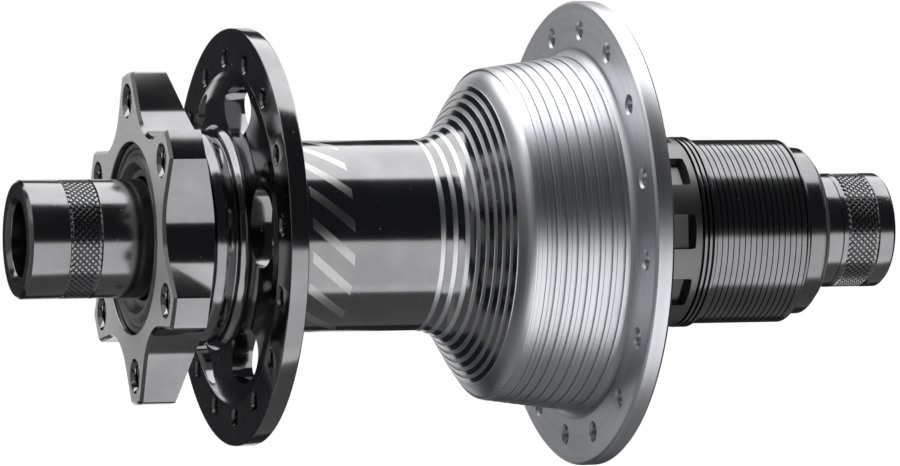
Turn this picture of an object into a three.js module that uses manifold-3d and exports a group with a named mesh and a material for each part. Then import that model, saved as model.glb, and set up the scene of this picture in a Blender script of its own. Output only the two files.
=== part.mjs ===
// Rear bicycle hub for a 12 mm thru-axle and a six-bolt disc brake, with a threaded cassette driver.
// Millimetres. X is the hub's axis with the drive side at +X, Z is up, and X = 0 is midway between its ends.
import * as THREE from "three";
import { mergeVertices } from "three/addons/utils/BufferGeometryUtils.js";
import Module from "manifold-3d";

const wasm = await Module();
wasm.setup();

// Driving dimensions.
const hubWidth = 148; // between the frame's dropouts
const facets = { shell: 48, driver: 36, cap: 36, inside: 24 }; // around turned pieces, each a multiple of 12
const gap = { fixed: 0.1, running: 0.3, side: 0.3 };
const shellBearing = { bore: 17, outer: 30, width: 7 };
const driverBearing = { bore: 17, outer: 26, width: 5 };
const race = { wall: 1 / 3, shoulder: 0.12, cage: 0.15, step: 0.3 }; // the first three are shares of the ring
const balls = { count: 10, gap: 0.25, around: 6, cageWidth: 1.8 };
const cap = {
  radius: 9.5, bore: 6.1, chamfer: 0.35, spigot: 9, spigotWall: 1.05, standLeft: 18.8, standRight: 14.2,
};
const oRing = { groove: 0.5, seat: 5, clearance: 0.15, sides: 6 };
const star = {
  lobes: 6, radius: 26.6, lobeWidth: 5.6, flank: 56, scoop: 9.5, rim: 5.8, back: 3, backStep: 0.5,
  boltCircle: 44, boltHole: 2.25, recessStep: 0.4,
};
const dustSeal = { bore: 9.9, front: 0.5, ridge: 12.9, ridgeWidth: 1.2, step: 0.8, room: 2.5 };
const neck = { wall: 2.2, bulge: 0.2, groove: 1.5, foot: 2.2 };
const leftFlange = {
  face: -38.8, thick: 3, radius: 33.6, spokeCircle: 58, rim: 6.5, dish: 1.9, dishRadius: 23,
  webThick: 3.2, webFoot: 4,
};
const rightFlange = { face: 19.95, thick: 3.2, radius: 38.15, spokeCircle: 67 };
const spokes = { count: 16, hole: 1.35, sides: 6, leftAngle: -3.5, rightAngle: 7.6 };
const window = { circle: 44.8, radial: 7.2, wide: 12.6, angle: 26.5, points: 16 };
const barrel = { radius: 15.5, wall: 2.5, blend: 2 };
const cone = { foot: -4, top: 3.6, footFillet: 8, footSteps: 4, topFillet: 4, topSteps: 3 };
const drum = { radius: 27, endRadius: 29.3, blend: 1.3 };
const shellSeat = { right: -3.4, lip: 0.5, step: 1 }; // right: where the drive-side shell bearing starts
const ratchet = { teeth: 60, engage: 0.5, depth: 1.6, rim: 1.5, width: 9.5, from: 6, slope: 0.94 };
const rearSeal = { width: 3, front: 1.6, lip: 0.35, step: 0.8 };
const driverSeal = { radius: 12.5, past: 0.9, back: 0.2 };
const driver = {
  start: 4.6, firstSeat: 1.4, lastSeat: 2.5, chamfer: 0.5, endDrop: 0.4,
  carrierRadius: 19, carrierEnd: 16.6, neckWall: 2.2, splineStart: 24.2, splineWall: 2.5,
  ringEnd: -20.1, ringWidth: 3.2, ringWall: 2.65, threadEnd: -4.4, threadRunOut: 0.9, threadWall: 2.1,
  landEnd: -0.4, seatWall: 0.75,
};
const spline = { count: 9, angle: 10, depth: 1.5, wide: 5.4, stop: 1.2 };
const pawl = {
  count: 3, length: 8, thick: 2.4, pivot: 16.8, eye: 2.2, width: 7.4, from: 7, lift: 14, gap: 0.3,
  openings: [0, 1, 2.2], // the pocket is cut at these shares of the lift
};
const pin = { radius: 1, inset: 0.4, past: 1.1 };
const snapRing = { thick: 1, deep: 0.9, opening: 40 };

// Sizes worked out from those above.
const leftEnd = -hubWidth / 2;
const rightEnd = hubWidth / 2;
const starFace = leftEnd + cap.standLeft;
const driverEnd = rightEnd - cap.standRight;
const axleRadius = shellBearing.bore / 2 - gap.fixed;
const axleBore = cap.bore + cap.spigotWall + gap.running;
const shellSeatRadius = shellBearing.outer / 2 + gap.fixed;
const driverSeatRadius = driverBearing.outer / 2 + gap.fixed;
const coneEnd = starFace + star.rim + star.back;
const dishX = leftFlange.face - leftFlange.dish;
const neckEnd = dishX - neck.foot;
const flangeBack = leftFlange.face + leftFlange.thick;
const flangeEnd = rightFlange.face + rightFlange.thick;
const leftBearingX = starFace + dustSeal.front + dustSeal.room;
const innerDriverBearingX = driver.start + driver.firstSeat;
const outerDriverBearingX = driverEnd - driver.lastSeat - driverBearing.width;
const neckRadius = shellSeatRadius + neck.wall;
const recessRadius = shellSeatRadius + star.recessStep;

const degrees = Math.PI / 180;
const lifted = liftedTip();
const ratchetTip = lifted.radius - ratchet.engage;
const ratchetRoot = ratchetTip + ratchet.depth;
const ratchetRadius = ratchetRoot + ratchet.rim;
const cutRun = 1; // how far a cutting tool runs past the metal

// Takes a shape's X, Y and depth to Y, Z and X.
const acrossX = new THREE.Matrix4().makeBasis(
  new THREE.Vector3(0, 1, 0), new THREE.Vector3(0, 0, 1), new THREE.Vector3(1, 0, 0));

// ---- Geometry helpers ----

function solidOf(geometry) {
  const bare = geometry.clone();
  bare.deleteAttribute("normal");
  bare.deleteAttribute("uv");
  const merged = mergeVertices(bare, 1e-4);
  const vertProperties = merged.getAttribute("position").array;
  const triVerts = new Uint32Array(merged.index.array);
  return new wasm.Manifold(new wasm.Mesh({ numProp: 3, vertProperties, triVerts }));
}

function geometryOf(solid) {
  const mesh = solid.getMesh();
  const geometry = new THREE.BufferGeometry();
  geometry.setAttribute("position", new THREE.BufferAttribute(mesh.vertProperties, 3));
  geometry.setIndex(new THREE.BufferAttribute(mesh.triVerts, 1));
  return geometry;
}

// A ring turned about X from its half section, a list of [x, radius] that closes on itself.
function turned(section, around = facets.inside) {
  const points = section.map(([x, radius]) => new THREE.Vector2(radius, x));
  if (THREE.ShapeUtils.area(points) < 0) points.reverse();
  points.push(points[0].clone());
  return solidOf(new THREE.LatheGeometry(points, around).rotateZ(-Math.PI / 2));
}

// A plain tube along X.
function tube(from, to, inner, outer, around = facets.inside) {
  return turned([[from, inner], [from, outer], [to, outer], [to, inner]], around);
}

// An outline in the YZ plane, given as a THREE.Shape, made solid from one X to another.
function extrudedAcross(shape, from, to, curveSegments = 8) {
  const geometry = new THREE.ExtrudeGeometry(shape, { depth: to - from, bevelEnabled: false, curveSegments });
  return solidOf(geometry.applyMatrix4(acrossX).translate(from, 0, 0));
}

// The point at an angle in degrees from +Z towards -Y.
function at(radius, angle) {
  return [-radius * Math.sin(angle * degrees), radius * Math.cos(angle * degrees)];
}

function rod(from, to, radius, centre, angle, around = 12) {
  const [y, z] = at(centre, angle);
  const geometry = new THREE.CylinderGeometry(radius, radius, to - from, around);
  return solidOf(geometry.rotateZ(-Math.PI / 2).translate((from + to) / 2, y, z));
}

function anglesOf(count, first = 0) {
  return Array.from({ length: count }, (_, i) => first + (360 * i) / count);
}

function joined(solids) {
  return solids.reduce((whole, piece) => whole.add(piece));
}

function cut(solid, tools) {
  return tools.reduce((rest, tool) => rest.subtract(tool), solid);
}

// A corner of a half section rounded to an arc, as steps + 1 points.
function rounded([x0, r0], [x, r], [x1, r1], radius, steps) {
  const inward = Math.atan2(r - r0, x - x0);
  const turn = Math.atan2(r1 - r, x1 - x) - inward;
  const reach = radius * Math.tan(Math.abs(turn) / 2);
  const side = Math.sign(turn) * radius;
  const centreX = x - reach * Math.cos(inward) - side * Math.sin(inward);
  const centreR = r - reach * Math.sin(inward) + side * Math.cos(inward);
  return Array.from({ length: steps + 1 }, (_, i) => {
    const angle = inward + (turn * i) / steps;
    return [centreX + side * Math.sin(angle), centreR - side * Math.cos(angle)];
  });
}

function material(color, roughness, metalness) {
  return () => new THREE.MeshStandardMaterial({ color, roughness, metalness });
}

const blackAlloy = material(0x0b0b0d, 0.25, 0.6);
const silverAlloy = material(0xc4c8ce, 0.3, 1);
const bearingSteel = material(0xb8babd, 0.22, 1);
const toolSteel = material(0x6f7276, 0.4, 1);
const sealRubber = material(0x26272a, 0.7, 0);

const hub = new THREE.Group();

function add(name, solid, look) {
  const mesh = new THREE.Mesh(geometryOf(solid), look());
  mesh.name = name;
  hub.add(mesh);
}

// ---- Shell: disc mount, neck, left flange, barrel, drum and drive-side flange, one piece of metal ----

// The blend from the barrel up to the drum: a hollow foot, a straight cone and a round shoulder.
const coneFoot = [cone.foot, barrel.radius];
const coneTop = [cone.top, drum.radius];
const drumEnd = [rightFlange.face - drum.blend, drum.endRadius];
const foot = rounded([flangeBack, barrel.radius], coneFoot, coneTop, cone.footFillet, cone.footSteps);
const shoulder = rounded(coneFoot, coneTop, drumEnd, cone.topFillet, cone.topSteps);

// Disc mount seen along X: between each pair of lobes, two straight flanks and a round floor are cut away.
function starOutline() {
  const pitch = 180 / star.lobes;
  const tipAngle = Math.asin(star.lobeWidth / 2 / star.radius) / degrees;
  const flank = star.flank * degrees;
  const [across, along] = at(star.radius, tipAngle - pitch);
  const centre = along - across / Math.tan(flank) + star.scoop / Math.sin(flank);
  const past = across + 2 * cutRun;
  const shape = new THREE.Shape();
  shape.absarc(0, centre, star.scoop, Math.PI + flank, -flank, false);
  shape.lineTo(past, along + (past - across) / Math.tan(flank));
  shape.lineTo(past, star.radius + cutRun);
  shape.lineTo(-past, star.radius + cutRun);
  shape.lineTo(-past, along + (past - across) / Math.tan(flank));
  const scallop = extrudedAcross(shape, starFace - cutRun, coneEnd + cutRun, 12);
  return anglesOf(star.lobes, spokes.leftAngle + pitch).map((angle) => scallop.rotate([angle, 0, 0]));
}

function shellOuter() {
  const innerRim = leftFlange.radius - leftFlange.rim;
  return [
    [starFace, recessRadius],
    [starFace, star.radius],
    [starFace + star.rim, star.radius],
    [coneEnd, neckRadius + star.backStep],
    [coneEnd + neck.groove, neckRadius],
    [neckEnd, neckRadius + neck.bulge],
    [dishX, leftFlange.dishRadius - leftFlange.webFoot],
    [dishX, leftFlange.dishRadius],
    [leftFlange.face, innerRim],
    [leftFlange.face, leftFlange.radius],
    [flangeBack, leftFlange.radius],
    [flangeBack, innerRim],
    [dishX + leftFlange.webThick, leftFlange.dishRadius],
    [dishX + leftFlange.webThick, barrel.radius + barrel.blend],
    [flangeBack, barrel.radius],
    ...foot,
    ...shoulder,
    drumEnd,
    [rightFlange.face, drum.endRadius + drum.blend],
    [rightFlange.face, rightFlange.radius],
    [flangeEnd, rightFlange.radius],
  ];
}

function shellInner() {
  const sealSeat = ratchetRadius + rearSeal.step + gap.fixed;
  const sealFrom = flangeEnd - rearSeal.front - rearSeal.width;
  const seatEnd = shellSeat.right + shellBearing.width + shellSeat.lip;
  return [
    [flangeEnd, sealSeat],
    [sealFrom - gap.fixed, sealSeat],
    [sealFrom - gap.fixed, ratchetRadius + gap.fixed],
    [ratchet.from - gap.fixed, ratchetRadius + gap.fixed],
    [ratchet.from - gap.fixed, ratchetRoot],
    [seatEnd, ratchetRoot - shellSeat.step],
    [seatEnd, shellSeatRadius],
    [shellSeat.right - gap.fixed, shellSeatRadius],
    [shellSeat.right - gap.fixed, barrel.radius - barrel.wall],
    [leftBearingX + shellBearing.width + gap.fixed, barrel.radius - barrel.wall],
    [leftBearingX + shellBearing.width + gap.fixed, shellSeatRadius],
    [leftBearingX - gap.fixed, shellSeatRadius],
    [leftBearingX - gap.fixed, recessRadius],
  ];
}

function lighteningWindow(angle) {
  const shape = new THREE.Shape();
  shape.absellipse(0, 0, window.wide / 2, window.radial / 2, 0, 2 * Math.PI);
  const outline = new THREE.Shape(shape.getPoints(window.points / 2));
  const from = neckEnd;
  const to = flangeBack + cutRun;
  const [y, z] = at(window.circle / 2, angle);
  const geometry = new THREE.ExtrudeGeometry(outline, { depth: to - from, bevelEnabled: false });
  return solidOf(geometry.applyMatrix4(acrossX).rotateX(angle * degrees).translate(from, y, z));
}

function spokeHoles(flange, firstAngle) {
  const from = flange.face - cutRun;
  const to = flange.face + flange.thick + cutRun;
  return anglesOf(spokes.count, firstAngle).map((angle) =>
    rod(from, to, spokes.hole, flange.spokeCircle / 2, angle, spokes.sides));
}

function addShell() {
  const body = turned([...shellOuter(), ...shellInner()], facets.shell);
  const bolts = anglesOf(star.lobes, spokes.leftAngle).map((angle) =>
    rod(starFace - cutRun, coneEnd + cutRun, star.boltHole, star.boltCircle / 2, angle, 10));
  const windows = anglesOf(star.lobes, window.angle).map(lighteningWindow);
  const holes = [...spokeHoles(leftFlange, spokes.leftAngle), ...spokeHoles(rightFlange, spokes.rightAngle)];
  const whole = cut(body, [...starOutline(), ...bolts, ...windows, ...holes]);
  // One node for each length of it, so that the collision follows each one's own shape.
  const lengths = [
    ["shell_disc_mount", starFace, coneEnd, blackAlloy],
    ["shell_neck", coneEnd, neckEnd, blackAlloy],
    ["shell_flange_left", neckEnd, flangeBack, blackAlloy],
    ["shell_barrel", flangeBack, foot[0][0], blackAlloy],
    ["shell_drive_side", foot[0][0], flangeEnd, silverAlloy],
  ];
  const half = gap.fixed / 2;
  lengths.forEach(([name, from, to, look]) => {
    const start = from === starFace ? from - cutRun : from + half;
    const end = to === flangeEnd ? to + cutRun : to - half;
    add(name, whole.intersect(rod(start, end, 2 * rightFlange.radius, 0, 0, 4)), look);
  });
}

// ---- Bearings ----

function raceWall(bearing) {
  return (race.wall * (bearing.outer - bearing.bore)) / 2;
}

// A deep-groove bearing as three pieces: inner race, outer race, and the balls in their cage.
function addBearing(name, bearing, from) {
  const to = from + bearing.width;
  const boreRadius = bearing.bore / 2;
  const outerRadius = bearing.outer / 2;
  const deep = outerRadius - boreRadius;
  const wall = raceWall(bearing);
  const pitch = (boreRadius + outerRadius) / 2;
  const ballRadius = deep / 2 - wall + race.shoulder * deep;
  const middle = (from + to) / 2;
  const groove = ballRadius + balls.gap;
  const half = Math.sqrt(groove ** 2 - (deep / 2 - wall) ** 2);
  const bottom = (offset) => [middle + offset, Math.sqrt(groove ** 2 - offset ** 2)];
  const innerTop = boreRadius + wall;
  const outerLow = outerRadius - wall;
  const steps = [-half / 3, half / 3].map(bottom);
  const innerGroove = steps.map(([x, rise]) => [x, pitch - rise]);
  const outerGroove = steps.map(([x, rise]) => [x, pitch + rise]).reverse();
  const inner = [[from, boreRadius], [from, innerTop], [middle - half, innerTop], ...innerGroove,
    [middle + half, innerTop], [to, innerTop], [to, boreRadius]];
  const outer = [[from, outerLow], [from, outerRadius], [to, outerRadius], [to, outerLow],
    [middle + half, outerLow], ...outerGroove, [middle - half, outerLow]];
  const cageHalf = (race.cage * deep) / 2;
  const reach = balls.cageWidth / 2;
  const cage = tube(middle - reach, middle + reach, pitch - cageHalf, pitch + cageHalf);
  const ball = new THREE.SphereGeometry(ballRadius, balls.around, balls.around - 2);
  const set = anglesOf(balls.count).map((angle) => {
    const [y, z] = at(pitch, angle);
    return solidOf(ball.clone().translate(middle, y, z));
  });
  add(name + "_inner_race", turned(inner), bearingSteel);
  add(name + "_outer_race", turned(outer), bearingSteel);
  add(name + "_balls", joined([cage, ...set]), bearingSteel);
}

// ---- Axle and end caps ----

function addAxle() {
  const leftSeatEnd = leftBearingX + shellBearing.width;
  const rise = shellBearing.bore / 2 + raceWall(shellBearing) - race.step;
  const section = [
    [leftBearingX, axleBore],
    [leftBearingX, axleRadius],
    [leftSeatEnd + gap.fixed, axleRadius],
    [leftSeatEnd + gap.fixed, rise],
    [shellSeat.right - gap.fixed, rise],
    [shellSeat.right - gap.fixed, axleRadius],
    [outerDriverBearingX + driverBearing.width, axleRadius],
    [outerDriverBearingX + driverBearing.width, axleBore],
  ];
  add("axle", turned(section), toolSteel);
  const firstGap = [shellSeat.right + shellBearing.width + gap.fixed, innerDriverBearingX - gap.fixed];
  const secondGap = [innerDriverBearingX + driverBearing.width + gap.fixed, outerDriverBearingX - gap.fixed];
  const bore = axleRadius + gap.fixed;
  const rim = driverBearing.bore / 2 + raceWall(driverBearing) - race.step;
  add("bearing_spacer", tube(...firstGap, bore, rim), toolSteel);
  add("driver_spacer", tube(...secondGap, bore, rim), silverAlloy);
}

// An end cap butts on a bearing, plugs into the axle's bore and slides out along X. side is -1 or 1.
function addEndCap(side, seat, end) {
  const out = (offset) => end - side * offset;
  const into = (offset) => seat + side * gap.fixed - side * offset;
  const spigotRadius = axleBore - gap.running;
  const grooveBottom = spigotRadius - oRing.groove;
  const ringInner = grooveBottom + gap.fixed;
  const ringRadius = (axleBore - oRing.clearance - ringInner) / 2;
  const ringFrom = oRing.seat - ringRadius - gap.fixed;
  const ringTo = oRing.seat + ringRadius + gap.fixed;
  const name = side < 0 ? "left" : "right";
  const section = [
    [out(0), cap.bore + cap.chamfer],
    [out(0), cap.radius - cap.chamfer],
    [out(cap.chamfer), cap.radius],
    [into(0), cap.radius],
    [into(0), spigotRadius],
    [into(ringFrom), spigotRadius],
    [into(ringFrom), grooveBottom],
    [into(ringTo), grooveBottom],
    [into(ringTo), spigotRadius],
    [into(cap.spigot), spigotRadius],
    [into(cap.spigot), cap.bore],
    [out(cap.chamfer), cap.bore],
  ];
  add("end_cap_" + name, turned(section, facets.cap), blackAlloy);
  const middle = into(oRing.seat);
  const ring = anglesOf(oRing.sides).map((angle) => {
    const [across, up] = at(ringRadius, angle);
    return [middle + across, ringInner + ringRadius + up];
  });
  add("o_ring_" + name, turned(ring), sealRubber);
}

// ---- Seals and snap rings ----

function addDustSeal() {
  const front = starFace + dustSeal.front;
  const back = leftBearingX - gap.fixed - gap.side;
  const outer = recessRadius - gap.fixed;
  const section = [
    [back, dustSeal.bore],
    [front + dustSeal.step, dustSeal.bore],
    [front + dustSeal.step, dustSeal.ridge - dustSeal.ridgeWidth],
    [front, dustSeal.ridge - dustSeal.ridgeWidth / 2],
    [front, dustSeal.ridge],
    [front + dustSeal.step, dustSeal.ridge + dustSeal.ridgeWidth / 2],
    [front + dustSeal.step, outer],
    [back, outer],
  ];
  add("dust_seal_left", turned(section, facets.cap), sealRubber);
}

function addRearSeal() {
  const to = flangeEnd - rearSeal.front;
  const lip = driverSeatRadius + driver.neckWall + rearSeal.lip;
  const seal = tube(to - rearSeal.width, to, lip, ratchetRadius + rearSeal.step, facets.cap);
  add("shell_seal_right", seal, sealRubber);
}

// A split ring in a groove of its own.
function snapRingSolid(from, outer) {
  const inner = outer - snapRing.deep;
  const shape = new THREE.Shape();
  const first = (snapRing.opening / 2) * degrees;
  const last = 2 * Math.PI - first;
  shape.absarc(0, 0, outer, first, last, false);
  shape.absarc(0, 0, inner, last, first, true);
  return extrudedAcross(shape, from, from + snapRing.thick, facets.inside / 2);
}

// ---- Driver, pawls and ratchet ring ----

function driverSection() {
  const bore = driverBearing.outer / 2 - raceWall(driverBearing) + race.step;
  const neckOuter = driverSeatRadius + driver.neckWall;
  const splineRadius = driverSeatRadius + driver.splineWall;
  const ringRadius = driverSeatRadius + driver.ringWall;
  const threadRadius = driverSeatRadius + driver.threadWall;
  const landRadius = driverSeatRadius + driver.seatWall;
  const ringTo = driverEnd + driver.ringEnd;
  const ringFrom = ringTo - driver.ringWidth;
  const threadTo = driverEnd + driver.threadEnd;
  const innerSeat = innerDriverBearingX + driverBearing.width + gap.fixed;
  return [
    [driver.start, driverSeatRadius],
    [driver.start, driver.carrierRadius - driver.chamfer],
    [driver.start + driver.chamfer, driver.carrierRadius],
    [driver.carrierEnd, driver.carrierRadius],
    [driver.carrierEnd, neckOuter],
    [driver.splineStart, neckOuter],
    [driver.splineStart, splineRadius],
    [ringFrom, splineRadius],
    [ringFrom, ringRadius],
    [ringTo, ringRadius],
    [ringTo, threadRadius],
    [threadTo, threadRadius],
    [threadTo + driver.threadRunOut, landRadius],
    [driverEnd + driver.landEnd, landRadius],
    [driverEnd, landRadius - driver.endDrop],
    [driverEnd, driverSeatRadius],
    [outerDriverBearingX - gap.fixed, driverSeatRadius],
    [outerDriverBearingX - gap.fixed, bore],
    [innerSeat, bore],
    [innerSeat, driverSeatRadius],
  ];
}

// A valley between two splines, cut from the spline ring up to the raised rings.
function splineValley(angle) {
  const radius = driverSeatRadius + driver.splineWall;
  const ringFrom = driverEnd + driver.ringEnd - driver.ringWidth;
  const from = driver.splineStart - cutRun;
  const length = ringFrom - spline.stop - from;
  const box = new THREE.BoxGeometry(length, spline.wide, spline.depth * 2);
  box.translate(from + length / 2, 0, radius);
  return solidOf(box.rotateX(angle * degrees));
}

// Pawl side view at rest: its tip points along u, the way the driver turns in use, and v is outwards.
function pawlShape(grow = 0) {
  const eye = pawl.eye + grow;
  const half = pawl.thick / 2 + grow;
  const tip = pawl.length + grow;
  const meet = Math.asin(half / eye);
  const shape = new THREE.Shape();
  shape.absarc(0, 0, eye, meet, 2 * Math.PI - meet, false);
  shape.lineTo(tip, -half);
  shape.lineTo(tip, half);
  return shape;
}

// The pawl's outline turned outwards by some degrees about its pivot, in the YZ plane at a pivot angle.
function pawlOutline(pivotAngle, lift, grow = 0) {
  const [cy, cz] = at(pawl.pivot, pivotAngle);
  const turn = lift * degrees;
  return new THREE.Shape(pawlShape(grow).getPoints(4).map(({ x, y }) => {
    const u = x * Math.cos(turn) - y * Math.sin(turn);
    const v = x * Math.sin(turn) + y * Math.cos(turn);
    const [outY, outZ] = at(v, pivotAngle);
    const [alongY, alongZ] = at(u, pivotAngle - 90);
    return new THREE.Vector2(cy + outY + alongY, cz + outZ + alongZ);
  }));
}

function pawlSolid(pivotAngle, from, to, lift = 0, grow = 0) {
  return extrudedAcross(pawlOutline(pivotAngle, lift, grow), from, to);
}

function addDriver() {
  const valleys = anglesOf(spline.count, spline.angle).map(splineValley);
  const from = pawl.from - gap.side;
  const to = pawl.from + pawl.width + gap.side;
  const pinTo = to + pin.past;
  const pockets = anglesOf(pawl.count).flatMap((angle) =>
    pawl.openings.map((share) => pawlSolid(angle, from, to, share * pawl.lift, pawl.gap)));
  const pinHoles = anglesOf(pawl.count).map((angle) =>
    rod(driver.start - cutRun, pinTo, pin.radius + gap.fixed, pawl.pivot, angle));
  const blank = turned(driverSection(), facets.driver);
  add("driver_body", cut(blank, [...valleys, ...pockets, ...pinHoles]), blackAlloy);
  anglesOf(pawl.count).forEach((angle, i) => {
    const eye = rod(from - cutRun, to + cutRun, pin.radius + gap.running, pawl.pivot, angle);
    const held = rod(driver.start + pin.inset, pinTo - gap.fixed, pin.radius, pawl.pivot, angle);
    add("pawl_" + (i + 1), pawlSolid(angle, pawl.from, pawl.from + pawl.width).subtract(eye), toolSteel);
    add("pawl_pin_" + (i + 1), held, toolSteel);
  });
}

// Where the lifted pawl's outer tip corner lies, as radius and angle from its pivot.
function liftedTip() {
  const turn = pawl.lift * degrees;
  const u = pawl.length * Math.cos(turn) - (pawl.thick / 2) * Math.sin(turn);
  const v = pawl.pivot + pawl.length * Math.sin(turn) + (pawl.thick / 2) * Math.cos(turn);
  return { radius: Math.hypot(u, v), angle: Math.atan2(u, v) / degrees };
}

function addRatchetRing() {
  const face = -lifted.angle - gap.running / lifted.radius / degrees;
  const pitch = 360 / ratchet.teeth;
  const shape = new THREE.Shape();
  shape.absarc(0, 0, ratchetRadius, 0, 2 * Math.PI, false);
  const teeth = anglesOf(ratchet.teeth, face).flatMap((angle) => [
    at(ratchetRoot, angle),
    at(ratchetTip, angle + pitch * ratchet.slope),
  ]);
  shape.holes.push(new THREE.Path(teeth.map(([y, z]) => new THREE.Vector2(y, z))));
  const ring = extrudedAcross(shape, ratchet.from, ratchet.from + ratchet.width, facets.inside / 2);
  add("ratchet_ring", ring, toolSteel);
}

function addDriverSeal() {
  const from = outerDriverBearingX + driverBearing.width + snapRing.thick + 2 * gap.fixed;
  const step = driverEnd - driverSeal.back;
  const to = driverEnd + driverSeal.past;
  const bore = cap.radius + gap.running;
  const seated = driverSeatRadius - gap.fixed;
  const section = [[from, bore], [from, seated], [step, seated], [step, driverSeal.radius],
    [to, driverSeal.radius], [to, bore]];
  add("driver_seal", turned(section, facets.cap), sealRubber);
}

function addSnapRing() {
  const from = outerDriverBearingX + driverBearing.width + gap.fixed;
  add("snap_ring_driver", snapRingSolid(from, driverSeatRadius - gap.fixed), toolSteel);
}

addAxle();
addBearing("bearing_left", shellBearing, leftBearingX);
addBearing("bearing_right", shellBearing, shellSeat.right);
addBearing("driver_bearing_inner", driverBearing, innerDriverBearingX);
addBearing("driver_bearing_outer", driverBearing, outerDriverBearingX);
addEndCap(-1, leftBearingX, leftEnd);
addEndCap(1, outerDriverBearingX + driverBearing.width, rightEnd);
addShell();
addDustSeal();
addRearSeal();
addRatchetRing();
addDriver();
addDriverSeal();
addSnapRing();

export default hub;
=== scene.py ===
import math

import bmesh
import bpy
import numpy as np
from mathutils import Matrix, Vector


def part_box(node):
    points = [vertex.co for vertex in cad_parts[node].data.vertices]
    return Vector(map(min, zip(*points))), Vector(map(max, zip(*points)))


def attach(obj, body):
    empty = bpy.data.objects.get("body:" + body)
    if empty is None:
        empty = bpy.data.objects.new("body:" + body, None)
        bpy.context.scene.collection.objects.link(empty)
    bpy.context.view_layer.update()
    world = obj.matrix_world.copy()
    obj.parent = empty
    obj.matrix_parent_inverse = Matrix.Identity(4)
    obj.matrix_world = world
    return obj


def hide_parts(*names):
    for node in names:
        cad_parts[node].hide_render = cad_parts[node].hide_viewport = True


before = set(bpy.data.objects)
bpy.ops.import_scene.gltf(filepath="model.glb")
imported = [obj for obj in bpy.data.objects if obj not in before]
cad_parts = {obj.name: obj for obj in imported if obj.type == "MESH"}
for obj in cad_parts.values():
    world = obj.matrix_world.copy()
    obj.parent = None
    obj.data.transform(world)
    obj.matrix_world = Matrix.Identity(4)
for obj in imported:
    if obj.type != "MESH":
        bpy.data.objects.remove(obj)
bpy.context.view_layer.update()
mm = 0.001
print("frame loaded,", len(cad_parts), "nodes")


# planes and radii that the frame gives, in mm
def span(node):
    low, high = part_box(node)
    return low.x / mm, high.x / mm


def radiusOf(node):
    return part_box(node)[1].z / mm


capLeftEnd = span("end_cap_left")[0]
capRightEnd = span("end_cap_right")[1]
shellStart, flangeLeftBack = span("shell_disc_mount")[0], span("shell_flange_left")[1]
shellEnd = span("shell_drive_side")[1]
driverStart, driverEnd = span("driver_body")


# shader maths

class Wire:
    # a socket that adds Math nodes when it is used in an expression
    def __init__(self, tree, socket):
        self.tree = tree
        self.socket = socket

    def math(self, operation, *others):
        inputs = dict(enumerate([self, *others]))
        return self.tree.node("ShaderNodeMath", inputs, operation=operation)

    def __add__(self, other):
        return self.math("ADD", other)

    def __radd__(self, other):
        return self.math("ADD", other)

    def __sub__(self, other):
        return self.math("SUBTRACT", other)

    def __mul__(self, other):
        return self.math("MULTIPLY", other)

    def __truediv__(self, other):
        return self.math("DIVIDE", other)

    def above(self, value):
        return self.math("GREATER_THAN", value)

    def below(self, value):
        return self.math("LESS_THAN", value)


class Finish:
    # one material and the nodes that make it
    def __init__(self, name, material=None):
        self.material = material or bpy.data.materials.new(name)
        self.material.use_nodes = True
        self.nodes = self.material.node_tree.nodes
        self.links = self.material.node_tree.links
        self.shader = self.nodes["Principled BSDF"]

    @classmethod
    def of(cls, material):
        return cls(material.name, material)

    def node(self, kind, inputs=None, output=0, **settings):
        made = self.nodes.new(kind)
        for key, value in settings.items():
            setattr(made, key, value)
        for key, value in (inputs or {}).items():
            self.feed(made.inputs[key], value)
        return Wire(self, made.outputs[output])

    def feed(self, socket, value):
        if isinstance(value, Wire):
            self.links.new(value.socket, socket)
        else:
            socket.default_value = value

    def set(self, **values):
        for key, value in values.items():
            self.feed(self.shader.inputs[key.replace("_", " ")], value)

    def place(self):
        # X along the hub, and the distance from its axis, in metres
        coords = self.node("ShaderNodeTexCoord", output=3)
        apart = self.nodes.new("ShaderNodeSeparateXYZ")
        self.links.new(coords.socket, apart.inputs[0])
        x, y, z = (Wire(self, out) for out in apart.outputs)
        radius = (y * y + z * z).math("SQRT")
        return coords, x, y, z, radius

    def noise(self, vector, scale, detail=2.0, roughness=0.5):
        inputs = {"Vector": vector, "Scale": scale, "Detail": detail, "Roughness": roughness}
        return self.node("ShaderNodeTexNoise", inputs, noise_dimensions="3D")

    def vector(self, x, y, z):
        return self.node("ShaderNodeCombineXYZ", {0: x, 1: y, 2: z})

    def mix(self, factor, first, second):
        made = self.nodes.new("ShaderNodeMix")
        made.data_type = "RGBA"
        self.feed(made.inputs[0], factor)
        self.feed(made.inputs[6], first)
        self.feed(made.inputs[7], second)
        return Wire(self, made.outputs[2])

    def between(self, value, low, high, start=0.0, end=1.0):
        inputs = {0: value, 1: low, 2: high, 3: start, 4: end}
        return self.node("ShaderNodeMapRange", inputs, clamp=True)

    def bump(self, height, strength, distance):
        inputs = {"Height": height, "Strength": strength, "Distance": distance}
        return self.node("ShaderNodeBump", inputs)


def grey(value):
    return (value, value, value, 1)


def shade(tone, share):
    # a lighter or darker version of a colour
    return (*(min(1.0, c * share) for c in tone), 1)


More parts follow.
